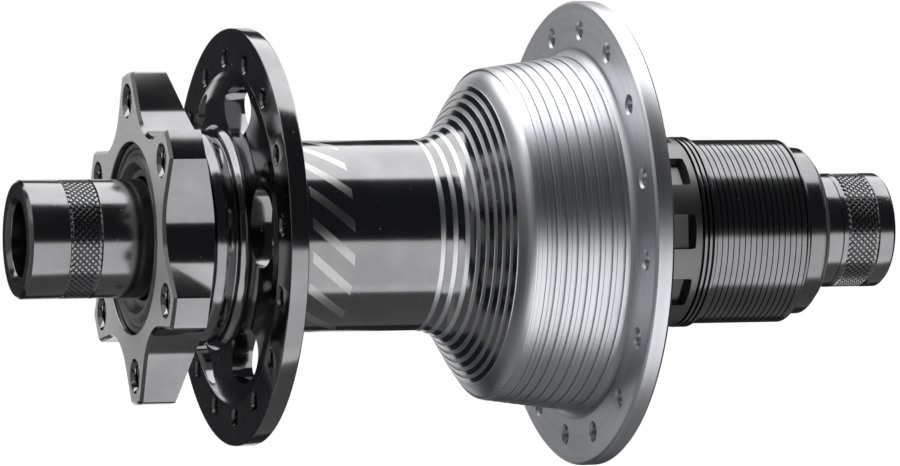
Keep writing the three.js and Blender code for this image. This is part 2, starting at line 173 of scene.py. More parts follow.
def anodised(name, tone=(0.235, 0.235, 0.24), roughness=0.13, turning=0.25, specks=0.35):
    # black anodised alloy: a dark mirror with faint turning marks, soft smears and a little dust
    f = Finish(name)
    coords, x, y, z, radius = f.place()
    around = f.vector(x * 6000.0, radius * 6000.0, 0.0)
    marks = f.noise(around, 1.0, 3.0, 0.6)
    smear = f.noise(coords, 90.0, 4.0, 0.6)
    fine = f.noise(coords, 2600.0, 2.0, 0.5)
    dust = f.between(f.noise(coords, 1500.0, 1.0, 0.4), 0.77, 0.82)
    base = f.mix(f.between(smear, 0.35, 0.7), shade(tone, 0.86), shade(tone, 1.1))
    base = f.mix(dust * specks, base, grey(0.5))
    rough = roughness + (smear - 0.5) * 0.10 + (marks - 0.5) * 0.06 + dust * 0.3
    height = marks * turning + fine * 0.25
    f.set(Base_Color=base, Metallic=1.0, Roughness=rough, Normal=f.bump(height, 0.35, 0.000012))
    return f.material


def turnedSilver(name, tone=(0.60, 0.61, 0.635), roughness=0.37, streak=0.5):
    # bare aluminium off the lathe, with fine rings and a slightly uneven shine
    f = Finish(name)
    coords, x, y, z, radius = f.place()
    around = f.vector(x * 5200.0, radius * 5200.0, 0.0)
    rings = f.noise(around, 1.0, 4.0, 0.65)
    broad = f.noise(f.vector(x * 700.0, radius * 700.0, 0.0), 1.0, 2.0, 0.5)
    stain = f.noise(coords, 60.0, 4.0, 0.6)
    grain = f.noise(coords, 3500.0, 2.0, 0.5)
    base = f.mix(f.between(rings * 0.6 + broad * 0.4, 0.3, 0.7), shade(tone, 0.82), shade(tone, 1.12))
    cooler = (tone[0] * 0.8, tone[1] * 0.84, tone[2] * 0.92, 1)
    base = f.mix(f.between(stain, 0.5, 0.8) * 0.25, base, cooler)
    rough = roughness + (rings - 0.5) * 0.16 + (stain - 0.5) * 0.10
    height = rings * streak + grain * 0.2
    f.set(Base_Color=base, Metallic=1.0, Roughness=rough, Normal=f.bump(height, 0.5, 0.00002))
    return f.material


def bareSteel(name, tone=(0.42, 0.43, 0.44), roughness=0.3):
    # hardened steel: ground in one direction round the axis, a little oily
    f = Finish(name)
    coords, x, y, z, radius = f.place()
    lines = f.noise(f.vector(x * 9000.0, radius * 9000.0, 0.0), 1.0, 3.0, 0.6)
    oil = f.noise(coords, 140.0, 3.0, 0.6)
    base = f.mix(f.between(oil, 0.3, 0.75), shade(tone, 0.7), shade(tone, 1.0))
    rough = roughness + (lines - 0.5) * 0.12 + (oil - 0.5) * 0.12
    f.set(Base_Color=base, Metallic=1.0, Roughness=rough, Normal=f.bump(lines, 0.4, 0.00001))
    return f.material


def markedBarrel(name, marks):
    # the barrel's black finish with a plain pattern of slanted bars laid over it
    material = anodised(name)
    f = Finish.of(material)
    coords, x, y, z, radius = f.place()
    turn = y.math("ARCTAN2", z) / (2 * math.pi)
    along = x / mm
    covered = 0.0
    for m in marks:
        slanted = turn * m["count"] + along * m["slant"]
        bars = slanted.math("FRACT").below(m["share"])
        covered = (bars * along.above(m["start"]) * along.below(m["end"])).math("MAXIMUM", covered)
    barLook = {"Base Color": grey(0.4), "Roughness": grey(0.3)}
    for name, value in barLook.items():
        socket = f.shader.inputs[name]
        under = Wire(f, socket.links[0].from_socket)
        f.feed(socket, f.mix(covered, under, value))
    return material


def sealRubber(name, tone=0.03, roughness=0.42):
    # moulded nitrile rubber with a dusty bloom in soft random patches
    f = Finish(name)
    coords, x, y, z, radius = f.place()
    bloom = f.noise(coords, 220.0, 5.0, 0.65)
    pores = f.noise(coords, 5200.0, 2.0, 0.6)
    base = f.mix(f.between(bloom, 0.4, 0.75), grey(tone), grey(tone * 2.6))
    rough = roughness + (bloom - 0.5) * 0.3
    f.set(Base_Color=base, Metallic=0.0, Roughness=rough, Normal=f.bump(pores, 0.5, 0.00003))
    return f.material


black = anodised("blackAnodised")
blackSatin = anodised("satinAnodised", tone=(0.20, 0.20, 0.205), roughness=0.17, specks=0.4)
blackCast = anodised("blastedAnodised", tone=(0.17, 0.17, 0.17), roughness=0.38, turning=0.1, specks=0.6)
blackCap = anodised("capAnodised", tone=(0.235, 0.235, 0.24), roughness=0.17)
silver = turnedSilver("turnedSilver")
etched = turnedSilver("etchedSilver", tone=(0.82, 0.82, 0.82), roughness=0.68, streak=0.2)
steel = bareSteel("hardenedSteel")
raceSteel = bareSteel("bearingSteel", tone=(0.6, 0.61, 0.62), roughness=0.18)
rubber = sealRubber("sealRubber")
barrelBlack = markedBarrel("markedAnodised", (
    dict(start=-33.8, end=-32.2, count=30, slant=0.2, share=0.5),
    dict(start=-29.5, end=-22.5, count=18, slant=0.16, share=0.34),
))
print("materials made")


# shapes

# what counts as one point in mm, as a straight run in radians, and how far a fillet may run along a side
touching = 1e-9
nearlyStraight = 0.05
longestReach = 0.48
# edges that turn more than this, in degrees, are shaded as hard edges
sharpAngle = 32
mergeDistance = 1e-7


def filleted(points, turnStep=0.35):
    # (x, r, fillet, tag) corners to a smooth outline of (x, r, tag)
    outline = []
    count = len(points)
    for i, (x, r, fillet, tag) in enumerate(points):
        here = Vector((x, r))
        back = Vector(points[i - 1][:2]) - here
        ahead = Vector(points[(i + 1) % count][:2]) - here
        if fillet <= 0 or back.length < touching or ahead.length < touching:
            outline.append((x, r, tag))
            continue
        turn = math.pi - back.angle(ahead)
        if turn < nearlyStraight:
            outline.append((x, r, tag))
            continue
        reach = min(fillet * math.tan(turn / 2), back.length * longestReach, ahead.length * longestReach)
        start = here + back.normalized() * reach
        end = here + ahead.normalized() * reach
        steps = max(2, math.ceil(turn / turnStep))
        lastTag = points[i - 1][3]
        for k in range(steps + 1):
            t = k / steps
            point = start * (1 - t) ** 2 + here * 2 * t * (1 - t) + end * t ** 2
            outline.append((point.x, point.y, lastTag if k < steps / 2 else tag))
    return outline


def meshFrom(name, verts, faces, materials, tags=None):
    mesh = bpy.data.meshes.new(name)
    mesh.from_pydata([tuple(v) for v in verts], [], faces)
    for material in materials:
        mesh.materials.append(material)
    if tags is not None:
        mesh.polygons.foreach_set("material_index", tags)
    piece = bpy.data.objects.new(name, mesh)
    bpy.context.scene.collection.objects.link(piece)
    return piece


def tidied(piece):
    # merged doubles, normals outwards, and hard edges marked where faces turn sharply
    bm = bmesh.new()
    bm.from_mesh(piece.data)
    bmesh.ops.remove_doubles(bm, verts=bm.verts, dist=mergeDistance)
    bmesh.ops.recalc_face_normals(bm, faces=bm.faces)
    limit = math.radians(sharpAngle)
    for face in bm.faces:
        face.smooth = True
    for edge in bm.edges:
        edge.smooth = len(edge.link_faces) != 2 or edge.calc_face_angle(0) < limit
    bm.to_mesh(piece.data)
    bm.free()
    return piece


def lathe(name, points, materials, segments=192):
    # a ring turned round X from its closed outline, in mm
    outline = filleted(points)
    count = len(outline)
    xr = np.array([(x, r) for x, r, tag in outline]) * mm
    angles = np.arange(segments) * 2 * math.pi / segments
    verts = np.zeros((segments, count, 3))
    verts[:, :, 0] = xr[:, 0]
    verts[:, :, 1] = -np.outer(np.sin(angles), xr[:, 1])
    verts[:, :, 2] = np.outer(np.cos(angles), xr[:, 1])
    faces, tags = [], []
    for k in range(segments):
        a, b = k * count, ((k + 1) % segments) * count
        for i in range(count):
            j = (i + 1) % count
            faces.append((a + i, a + j, b + j, b + i))
            tags.append(outline[i][2])
    return tidied(meshFrom(name, verts.reshape(-1, 3), faces, materials, tags))


def evaluated(piece):
    # the piece's modifiers made real, and the modifiers taken off
    graph = bpy.context.evaluated_depsgraph_get()
    mesh = bpy.data.meshes.new_from_object(piece.evaluated_get(graph))
    piece.modifiers.clear()
    old = piece.data
    piece.data = mesh
    bpy.data.meshes.remove(old)
    return piece


def joined(name, pieces):
    bm = bmesh.new()
    for piece in pieces:
        bm.from_mesh(piece.data)
    mesh = bpy.data.meshes.new(name)
    bm.to_mesh(mesh)
    bm.free()
    for material in pieces[0].data.materials:
        mesh.materials.append(material)
    for piece in pieces:
        bpy.data.objects.remove(piece)
    whole = bpy.data.objects.new(name, mesh)
    bpy.context.scene.collection.objects.link(whole)
    return whole


def cut(piece, cutter):
    modifier = piece.modifiers.new("cut", "BOOLEAN")
    modifier.operation = "DIFFERENCE"
    modifier.solver = "MANIFOLD"
    modifier.object = cutter
    evaluated(piece)
    bpy.data.objects.remove(cutter)
    return tidied(piece)


def spun(name, points, materials, around=24):
    # a solid turned round its own X axis from (x, r) corners, from on-axis to on-axis, in mm
    outline = [(x, r, 0) for x, r in points]
    verts, faces = [], []
    first, last = outline[0], outline[-1]
    inner = outline[1:-1]
    for k in range(around):
        a = 2 * math.pi * k / around
        verts += [(x * mm, r * mm * math.cos(a), r * mm * math.sin(a)) for x, r, tag in inner]
    count = len(inner)
    verts += [(first[0] * mm, 0, 0), (last[0] * mm, 0, 0)]
    for k in range(around):
        a, b = k * count, ((k + 1) % around) * count
        faces += [(a + i, a + i + 1, b + i + 1, b + i) for i in range(count - 1)]
        faces += [(len(verts) - 2, a, b), (a + count - 1, len(verts) - 1, b + count - 1)]
    return tidied(meshFrom(name, verts, faces, materials))


# geometry nodes: copies set round the axis

def roundAxisTree(name):
    # copies of one shape at even angles round X, each turned to face outwards, in one or more rows
    tree = bpy.data.node_groups.new(name, "GeometryNodeTree")
    face = tree.interface
    face.new_socket("Shape", in_out="INPUT", socket_type="NodeSocketObject")
    face.new_socket("Count", in_out="INPUT", socket_type="NodeSocketInt")
    face.new_socket("Rows", in_out="INPUT", socket_type="NodeSocketInt")
    face.new_socket("Radius", in_out="INPUT", socket_type="NodeSocketFloat")
    face.new_socket("Start", in_out="INPUT", socket_type="NodeSocketFloat")
    face.new_socket("Row Step", in_out="INPUT", socket_type="NodeSocketFloat")
    face.new_socket("First Angle", in_out="INPUT", socket_type="NodeSocketFloat")
    face.new_socket("Row Turn", in_out="INPUT", socket_type="NodeSocketFloat")
    face.new_socket("Material", in_out="INPUT", socket_type="NodeSocketMaterial")
    face.new_socket("Geometry", in_out="OUTPUT", socket_type="NodeSocketGeometry")
    nodes, links = tree.nodes, tree.links
    given = nodes.new("NodeGroupInput").outputs

    def maths(operation, a, b):
        made = nodes.new("ShaderNodeMath")
        made.operation = operation
        for socket, value in zip(made.inputs, (a, b)):
            if isinstance(value, (int, float)):
                socket.default_value = value
            else:
                links.new(value, socket)
        return made.outputs[0]

    index = nodes.new("GeometryNodeInputIndex").outputs[0]
    row = maths("FLOOR", maths("DIVIDE", index, given["Count"]), 0)
    turn = maths("DIVIDE", 2 * math.pi, given["Count"])
    angle = maths("ADD", maths("MULTIPLY", index, turn), given["First Angle"])
    angle = maths("ADD", angle, maths("MULTIPLY", row, given["Row Turn"]))
    x = maths("ADD", given["Start"], maths("MULTIPLY", row, given["Row Step"]))
    y = maths("MULTIPLY", maths("MULTIPLY", maths("SINE", angle, 0), given["Radius"]), -1)
    z = maths("MULTIPLY", maths("COSINE", angle, 0), given["Radius"])
    place = nodes.new("ShaderNodeCombineXYZ")
    for socket, value in zip(place.inputs, (x, y, z)):
        links.new(value, socket)
    spin = nodes.new("ShaderNodeCombineXYZ")
    links.new(angle, spin.inputs[0])
    points = nodes.new("GeometryNodePoints")
    links.new(maths("MULTIPLY", given["Count"], given["Rows"]), points.inputs["Count"])
    links.new(place.outputs[0], points.inputs["Position"])
    shape = nodes.new("GeometryNodeObjectInfo")
    links.new(given["Shape"], shape.inputs["Object"])
    copies = nodes.new("GeometryNodeInstanceOnPoints")
    links.new(points.outputs[0], copies.inputs["Points"])
    links.new(shape.outputs["Geometry"], copies.inputs["Instance"])
    links.new(spin.outputs[0], copies.inputs["Rotation"])
    real = nodes.new("GeometryNodeRealizeInstances")
    links.new(copies.outputs[0], real.inputs[0])
    painted = nodes.new("GeometryNodeSetMaterial")
    links.new(real.outputs[0], painted.inputs[0])
    links.new(given["Material"], painted.inputs["Material"])
    links.new(painted.outputs[0], nodes.new("NodeGroupOutput").inputs[0])
    return tree


aroundAxis = roundAxisTree("copiesRoundAxis")


def copiesRound(name, shape, material, count, radius, start, firstAngle=0.0,
                rows=1, rowStep=0.0, rowTurn=0.0):
    # lengths in mm and angles in degrees, from +Z towards -Y
    piece = meshFrom(name, [], [], [])
    modifier = piece.modifiers.new("copies", "NODES")
    modifier.node_group = aroundAxis
    values = {
        "Shape": shape, "Count": count, "Rows": rows, "Radius": radius * mm, "Start": start * mm,
        "Row Step": rowStep * mm, "First Angle": math.radians(firstAngle),
        "Row Turn": math.radians(rowTurn), "Material": material,
    }
    for item in aroundAxis.interface.items_tree:
        if item.in_out == "INPUT":
            modifier[item.identifier] = values[item.name]
    evaluated(piece)
    bpy.data.objects.remove(shape)
    return piece


def done(piece, body, slot, *nodes):
    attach(piece, body)
    if nodes:
        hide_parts(*nodes)
    return piece


# shell, left half: disc mount, neck and left flange

discMount = dict(
    radius=26.6, lobes=6, lobeWidth=5.6, flank=56.0, scoop=9.5, corner=0.5, rim=5.8, back=3.0,
    coneRadius=17.9, chamfer=0.5, angle=-3.5, boltCircle=44.0, boltRadius=2.2, mouth=2.85,
    threadPitch=0.8, threadDepth=0.32, recess=15.4, tipSteps=4, scoopSteps=11, beyond=31.0,
)
leftFlange = dict(
    face=-38.8, thick=3.0, radius=33.6, spokeCircle=58.0, innerRim=26.9, dish=1.9, dishRadius=22.6,
    web=3.2, windows=6, windowAngle=26.5, windowCircle=22.4, windowWide=12.6, windowDeep=7.2,
)
spokeHole = dict(radius=1.35, mouth=1.75, flare=0.8, sink=0.35, count=16, leftAngle=-3.5, rightAngle=7.6)
neck = dict(radius=17.15, crown=0.4, groove=0.5, grooveWidth=0.35)
barrel = dict(radius=15.5, inner=13.0)


def starCutter(coneEnd):
    # everything outside the six-lobed outline, with a chamfer along its front edge
    d = discMount
    tip = math.asin(d["lobeWidth"] / 2 / d["radius"])
    pitch = math.pi / d["lobes"]
    along = d["radius"] * math.cos(pitch - tip)
    across = d["radius"] * math.sin(pitch - tip)
    flank = math.radians(d["flank"])
    centre = along - across / math.tan(flank) + d["scoop"] / math.sin(flank)
    corners = []
    tipSteps, scoopSteps = d["tipSteps"], d["scoopSteps"]
    for lobe in range(d["lobes"]):
        middle = math.radians(d["angle"]) + lobe * 2 * pitch
        for k in range(-tipSteps, tipSteps + 1):
            a = middle + tip * k / tipSteps
            fillet = d["corner"] if abs(k) == tipSteps else 0
            corners.append((d["radius"] * math.sin(a), d["radius"] * math.cos(a), fillet, 0))
        gap = middle + pitch
        for k in range(-scoopSteps, scoopSteps + 1):
            a = (math.pi / 2 - flank) * k / scoopSteps
            u = centre - d["scoop"] * math.cos(a)
            v = d["scoop"] * math.sin(a)
            s = u * math.sin(gap) + v * math.cos(gap)
            c = u * math.cos(gap) - v * math.sin(gap)
            corners.append((s, c, 0, 0))
    outline = np.array([(x, y) for x, y, tag in filleted(corners)])
    ahead = np.roll(outline, -1, axis=0) - np.roll(outline, 1, axis=0)
    ahead /= np.linalg.norm(ahead, axis=1)[:, None]
    outwards = np.stack([-ahead[:, 1], ahead[:, 0]], 1)
    outwards *= np.sign((outwards * outline).sum(1).mean())
    small = outline - outwards * d["chamfer"]
    wide = outline / np.linalg.norm(outline, axis=1)[:, None] * d["beyond"]
    front, back = shellStart, coneEnd + 0.1
    rings = [
        (front - 1, small), (front, small), (front + d["chamfer"], outline),
        (back, outline), (back, wide), (front - 1, wide),
    ]
    count = len(outline)
    verts = [(x * mm, -s * mm, c * mm) for x, ringPoints in rings for s, c in ringPoints]
    faces = []
    for i in range(len(rings)):
        a, b = i * count, ((i + 1) % len(rings)) * count
        faces += [(a + k, a + (k + 1) % count, b + (k + 1) % count, b + k) for k in range(count)]
    return tidied(meshFrom("starCutter", verts, faces, [black]))


def threadedHole(start, end):
    # the air inside a tapped hole: a chamfered mouth, then one ridge per turn of the thread
    d = discMount
    mouth, hole = d["mouth"], d["boltRadius"]
    points = [(start - 1, 0), (start - 1, mouth), (start, mouth), (start + mouth - hole - 0.1, hole + 0.1)]
    x = start + mouth - hole + 0.1
    while x < end:
        points += [(x, hole), (x + d["threadPitch"] / 2, hole + d["threadDepth"])]
        x += d["threadPitch"]
    points += [(end + 1, hole), (end + 1, 0)]
    return spun("threadedHole", points, [black], 20)


def spokeDrill(material, start, end):
    # the air inside a spoke hole, countersunk at both faces
    d = spokeHole
    outside = d["mouth"] + d["flare"]
    points = [
        (start - 1, 0), (start - 1, outside), (start, d["mouth"]), (start + d["sink"], d["radius"]),
        (end - d["sink"], d["radius"]), (end, d["mouth"]), (end + 1, outside), (end + 1, 0),
    ]
    return spun("spokeDrill", points, [material], 24)


def windowDrill(start, end):
    # an oval punch: wide round the axis and shorter outwards
    halfWide, halfDeep = leftFlange["windowWide"] / 2 * mm, leftFlange["windowDeep"] / 2 * mm
    around = 40
    angles = [2 * math.pi * k / around for k in range(around)]
    verts = [(x * mm, halfWide * math.cos(a), halfDeep * math.sin(a))
             for x in (start - 1, end + 1) for a in angles]
    faces = [(k, (k + 1) % around, around + (k + 1) % around, around + k) for k in range(around)]
    faces += [tuple(range(around)), tuple(range(around, 2 * around))]
    return tidied(meshFrom("windowDrill", verts, faces, [black]))


def makeLeftShell():
    d, f, n = discMount, leftFlange, neck
    flangeBack = f["face"] + f["thick"]
    dishX = f["face"] - f["dish"]
    coneEnd = shellStart + d["rim"] + d["back"]
    bearing = span("bearing_left_outer_race")
    seat = radiusOf("bearing_left_outer_race") + 0.1
    neckEnd = dishX - 2.1
    neckMiddle = (coneEnd + neckEnd) / 2
    slope = (d["radius"] - d["coneRadius"]) / d["back"]
    over = 1.0
    low = n["radius"] - n["groove"]
    points = [
        (shellStart, d["recess"], 0.25, 1),
        (shellStart, d["radius"] + over, 0.0, 0),
        (coneEnd - d["back"] - over / slope, d["radius"] + over, 0.0, 0),
        (coneEnd, d["coneRadius"], 0.4, 0),
        (coneEnd + 0.05, low, 0.15, 0),
        (coneEnd + n["grooveWidth"], low, 0.15, 0),
        (coneEnd + n["grooveWidth"] + 0.1, n["radius"], 0.3, 0),
        (neckMiddle, n["radius"] + n["crown"], 3.0, 0),
        (neckEnd, n["radius"], 0.3, 0),
        (neckEnd + 0.1, low, 0.12, 0),
        (neckEnd + 0.1 + n["grooveWidth"], low, 0.12, 0),
        (neckEnd + 0.7, n["radius"] + 0.3, 0.3, 0),
        (dishX - 0.25, n["radius"] + 0.75, 0.9, 0),
        (dishX, f["dishRadius"] - 2.4, 0.5, 0),
        (dishX + 0.15, f["dishRadius"], 3.0, 0),
        (f["face"] - 0.5, f["innerRim"] - 1.0, 1.5, 0),
        (f["face"], f["innerRim"], 0.7, 0),
        (f["face"], f["radius"], 0.32, 0),
        (flangeBack, f["radius"], 0.32, 0),
        (flangeBack, f["innerRim"] + 1.0, 0.8, 0),
        (dishX + f["web"] + 0.3, f["dishRadius"], 1.2, 0),
        (dishX + f["web"], barrel["radius"] + 2.2, 1.5, 0),
        (flangeBack - 0.6, barrel["radius"] + 0.05, 0.6, 0),
        (flangeBack - 0.6, barrel["inner"], 0.0, 0),
        (bearing[1] + 0.1, barrel["inner"], 0.2, 0),
        (bearing[1] + 0.1, seat, 0.0, 0),
        (bearing[0] - 0.1, seat, 0.0, 0),
        (bearing[0] - 0.1, d["recess"], 0.2, 0),
    ]
    body = lathe("shellLeft", points, [black, etched], 240)
    cut(body, starCutter(coneEnd))
    holes = copiesRound("boltHoles", threadedHole(shellStart, coneEnd), black,
                        d["lobes"], d["boltCircle"] / 2, 0.0, d["angle"])
    cut(body, holes)
    spokes = copiesRound("spokeHolesLeft", spokeDrill(black, f["face"], flangeBack), black,
                         spokeHole["count"], f["spokeCircle"] / 2, 0.0, spokeHole["leftAngle"])
    windows = copiesRound("windows", windowDrill(dishX - 1.2, dishX + f["web"] + 1.5), black,
                          f["windows"], f["windowCircle"], 0.0, f["windowAngle"])
    cut(body, spokes)
    cut(body, windows)
    return done(body, "shell", "shell_alloy", "shell_disc_mount", "shell_neck", "shell_flange_left")


# shell, right half: barrel, ringed cone, drum and drive-side flange

cone = dict(
    foot=-4.04, top=3.57, footFillet=8.0, topFillet=4.6, turnStep=0.08, rings=8, firstRing=-7.7,
    ringWidth=0.86, widthStep=-0.03, ringWall=0.06, ringDepth=0.12, pitch=1.98, pitchStep=-0.075,
    fadeSteps=12,
)
drum = dict(
    radius=26.98, endRadius=29.3, end=19.95, grooves=9, grooveWidth=0.34, grooveDepth=0.3,
    lip=0.62, lipHeight=0.07, firstGroove=4.05, firstPitch=1.5, pitchGrowth=1.045,
)
rightFlange = dict(thick=3.2, radius=38.15, spokeCircle=67.0, chamfer=0.45)


def coneCurve():
    # the outside of the blend from barrel to drum, as points from left to right
    c = cone
    before = (c["foot"] - 16, barrel["radius"], 0, 0)
    foot = (c["foot"], barrel["radius"], c["footFillet"], 0)
    top = (c["top"], drum["radius"], c["topFillet"], 0)
    after = (drum["end"], drum["endRadius"], 0, 0)
    outline = filleted([before, foot, top, after], c["turnStep"])
    return [(x, r) for x, r, tag in outline][1:-1]


def withRings(curve):
    # cuts shallow bright rings through the black finish, measured along the blend's length
    c = cone
    depth, wall = c["ringDepth"], c["ringWall"]
    points = np.array(curve)
    steps = np.linalg.norm(np.diff(points, axis=0), axis=1)
    along = np.concatenate([[0], np.cumsum(steps)])

    def onCurve(s):
        return (np.interp(s, along, points[:, i]) for i in (0, 1))

    def spot(s, sunk=0.0):
        # the point at length s, set into the metal square to the curve
        x, r = onCurve(s)
        nextX, nextR = onCurve(s + 0.2)
        lastX, lastR = onCurve(s - 0.2)
        dx, dr = nextX - lastX, nextR - lastR
        size = math.hypot(dx, dr)
        return x + sunk * dr / size, r - sunk * dx / size

    s = np.interp(c["firstRing"], points[:, 0], along)
    last, made = 0.0, []
    for k in range(c["rings"] + 1):
        half = (c["ringWidth"] + k * c["widthStep"]) / 2
        made += [(*spot(t), 0, 0) for t in np.linspace(last, s - half, 5)[:-1]]
        made += [(*spot(s - half), 0, 1), (*spot(s - half + wall, depth), 0, 1)]
        if k < c["rings"]:
            made += [(*spot(s, depth), 0, 1), (*spot(s + half - wall, depth), 0, 1)]
            last = s + half
            s += c["pitch"] + k * c["pitchStep"]
    # past the last ring the metal stays bright and comes back up to the curve
    steps = c["fadeSteps"]
    for i in range(1, steps + 1):
        t = s + (along[-1] - s) * i / steps
        made.append((*spot(t, depth * (1 - i / steps)), 0, 1))
    return made


def drumPoints():
    # a tapered drum with fine grooves, each with a low turned lip on its right
    d = drum
    rise = (d["endRadius"] - d["radius"]) / (d["end"] - cone["top"])
    half = d["grooveWidth"] / 2

    def radius(x):
        return d["radius"] + rise * (x - cone["top"])

    points = []
    x, pitch = d["firstGroove"], d["firstPitch"]
    for k in range(d["grooves"]):
        lip = x + half + d["lip"]
        points += [
            (x - half, radius(x - half), 0.05, 1),
            (x - half * 0.3, radius(x) - d["grooveDepth"], 0.03, 1),
            (x + half * 0.3, radius(x) - d["grooveDepth"], 0.03, 1),
            (x + half, radius(x) + d["lipHeight"], 0.06, 1),
            (lip, radius(lip) + d["lipHeight"], 0.08, 1),
            (lip + 0.12, radius(lip) - 0.03, 0.08, 1),
        ]
        x += pitch
        pitch *= d["pitchGrowth"]
    return points


def makeRightShell():
    f = rightFlange
    face = drum["end"]
    edge = f["chamfer"]
    seat = radiusOf("shell_seal_right") + 0.1
    sealStart = span("shell_seal_right")[0]
    ringSeat = radiusOf("ratchet_ring") + 0.1
    bearing = span("bearing_right_outer_race")
    bearingSeat = radiusOf("bearing_right_outer_race") + 0.1
    joint = flangeLeftBack - 0.6
    points = [
        (joint, barrel["inner"], 0, 0),
        (joint, barrel["radius"], 0, 0),
        *withRings(coneCurve()),
        *drumPoints(),
        (face, drum["endRadius"] + 0.9, 1.6, 1),
        (face, f["radius"] - edge, 0.12, 1),
        (face + edge, f["radius"], 0.12, 1),
        (shellEnd - edge, f["radius"], 0.12, 1),
        (shellEnd, f["radius"] - edge, 0.12, 1),
        (shellEnd, seat, 0.3, 1),
        (sealStart - 0.1, seat, 0, 1),
        (sealStart - 0.1, ringSeat, 0, 1),
        (span("ratchet_ring")[0] - 0.1, ringSeat, 0, 1),
        (bearing[1] + 0.5, ringSeat - 2.6, 0, 1),
        (bearing[1] + 0.5, bearingSeat, 0, 1),
        (bearing[0] - 0.1, bearingSeat, 0, 1),
        (bearing[0] - 0.1, barrel["inner"], 0, 0),
    ]
    body = lathe("shellRight", points, [barrelBlack, silver], 240)
    holes = copiesRound("spokeHolesRight", spokeDrill(silver, face, shellEnd), silver,
                        spokeHole["count"], f["spokeCircle"] / 2, 0.0, spokeHole["rightAngle"])
    return done(cut(body, holes), "shell", "silver_alloy", "shell_barrel", "shell_drive_side")


# end caps

endCap = dict(
    radius=9.5, bore=6.1, spigot=7.15, chamfer=0.5, boreChamfer=0.7, knurlDepth=0.28, knurlAround=58,
    knurlRows=9, waist=0.06, waistLength=2.6,
)
leftKnurl = dict(start=-67.4, end=-62.3)
rightKnurl = dict(start=65.5, end=71.0, groove=64.5)


def knurl(name, start, end, material):
    # raised diamonds in staggered rows, each a low four-sided pyramid with its top cut off
    d = endCap
    rowStep = (end - start) / (d["knurlRows"] + 1)
    wide = math.pi * 2 * d["radius"] / d["knurlAround"]
    floor, top = d["radius"] - d["knurlDepth"], d["radius"]
    verts, faces = [], []
    for lift, size in ((floor - 0.15, 1.0), (floor, 0.96), (top - 0.03, 0.55)):
        height = (lift - floor) * mm
        verts += [(rowStep * size * mm, 0, height), (0, wide / 2 * size * mm, height),
                  (-rowStep * size * mm, 0, height), (0, -wide / 2 * size * mm, height)]
    for a in (0, 4):
        faces += [(a + k, a + (k + 1) % 4, a + 4 + (k + 1) % 4, a + 4 + k) for k in range(4)]
    faces += [(3, 2, 1, 0), (8, 9, 10, 11)]
    diamond = meshFrom(name + "Diamond", verts, faces, [material])
    half = 360 / d["knurlAround"] / 2
    return copiesRound(name, diamond, material, d["knurlAround"], floor, start + rowStep, 0.0,
                       rows=d["knurlRows"], rowStep=rowStep, rowTurn=half)


def makeEndCap(name, end, inwards, side, knurlSpan, groove, node, body):
    # inwards is 1 where the hub's middle lies towards +X; the cap butts on that side's end of the axle
    d = endCap
    seat = span("axle")[side] - inwards * 0.1

    def x(offset):
        return end + inwards * offset

    k0, k1 = knurlSpan["start"], knurlSpan["end"]
    nearer, further = (k0, k1) if inwards > 0 else (k1, k0)
    floor = d["radius"] - d["knurlDepth"]
    spigot = d["spigot"]
    low, high = span(node)
    tail = high if inwards > 0 else low
    points = [
        (x(0), d["bore"] + d["boreChamfer"], 0.08, 0),
        (x(0), d["radius"] - d["chamfer"], 0.1, 0),
        (x(d["chamfer"]), d["radius"], 0.15, 0),
        (nearer - inwards * 0.1, d["radius"], 0.03, 0),
        (nearer + inwards * 0.1, floor, 0, 0),
        (further - inwards * 0.1, floor, 0, 0),
        (further + inwards * 0.1, d["radius"], 0.03, 0),
    ]
    if groove:
        waist = d["radius"] - d["waist"]
        points += [
            (groove + 0.12, d["radius"], 0.04, 0), (groove, d["radius"] - 0.18, 0.03, 0),
            (groove - 0.12, waist, 0.04, 0), (groove - d["waistLength"], waist, 0.1, 0),
        ]
    points += [
        (seat, d["radius"], 0.1, 0),
        (seat, spigot, 0.05, 0),
        (tail - inwards * 0.4, spigot, 0.1, 0),
        (tail, spigot - 0.4, 0.1, 0),
        (tail, d["bore"], 0.1, 0),
        (x(d["boreChamfer"]), d["bore"], 0.1, 0),
    ]
    turnedBody = lathe(name, points, [blackCap], 192)
    grip = knurl(name + "Knurl", k0, k1, blackCap)
    return done(joined(name, [turnedBody, grip]), body, "black_alloy", node)


# cassette driver

driver = dict(
    spline=15.6, valley=14.1, splineStart=24.2, splineEnd=36.9, ring=15.75, ringFloor=14.9,
    rings=(37.2, 38.05, 38.9), ringWidth=0.5, thread=15.2, threadDepth=0.22, threadStart=39.7,
    threadEnd=55.7, pitch=1.0, land=13.85, edge=0.35, seat=13.1, bore=11.8, neckRadius=15.3,
    carrier=19.0, carrierEnd=16.6, lugs=9, lugAngle=10.0, valleyWide=5.4, mouthWide=6.2, valleyRamp=0.9,
)
# one turn of the thread as (share of the pitch, share of the depth)
threadSection = ((0.0, 0.0), (0.38, 0.0), (0.44, 1.0), (0.56, 1.0), (0.62, 0.0))


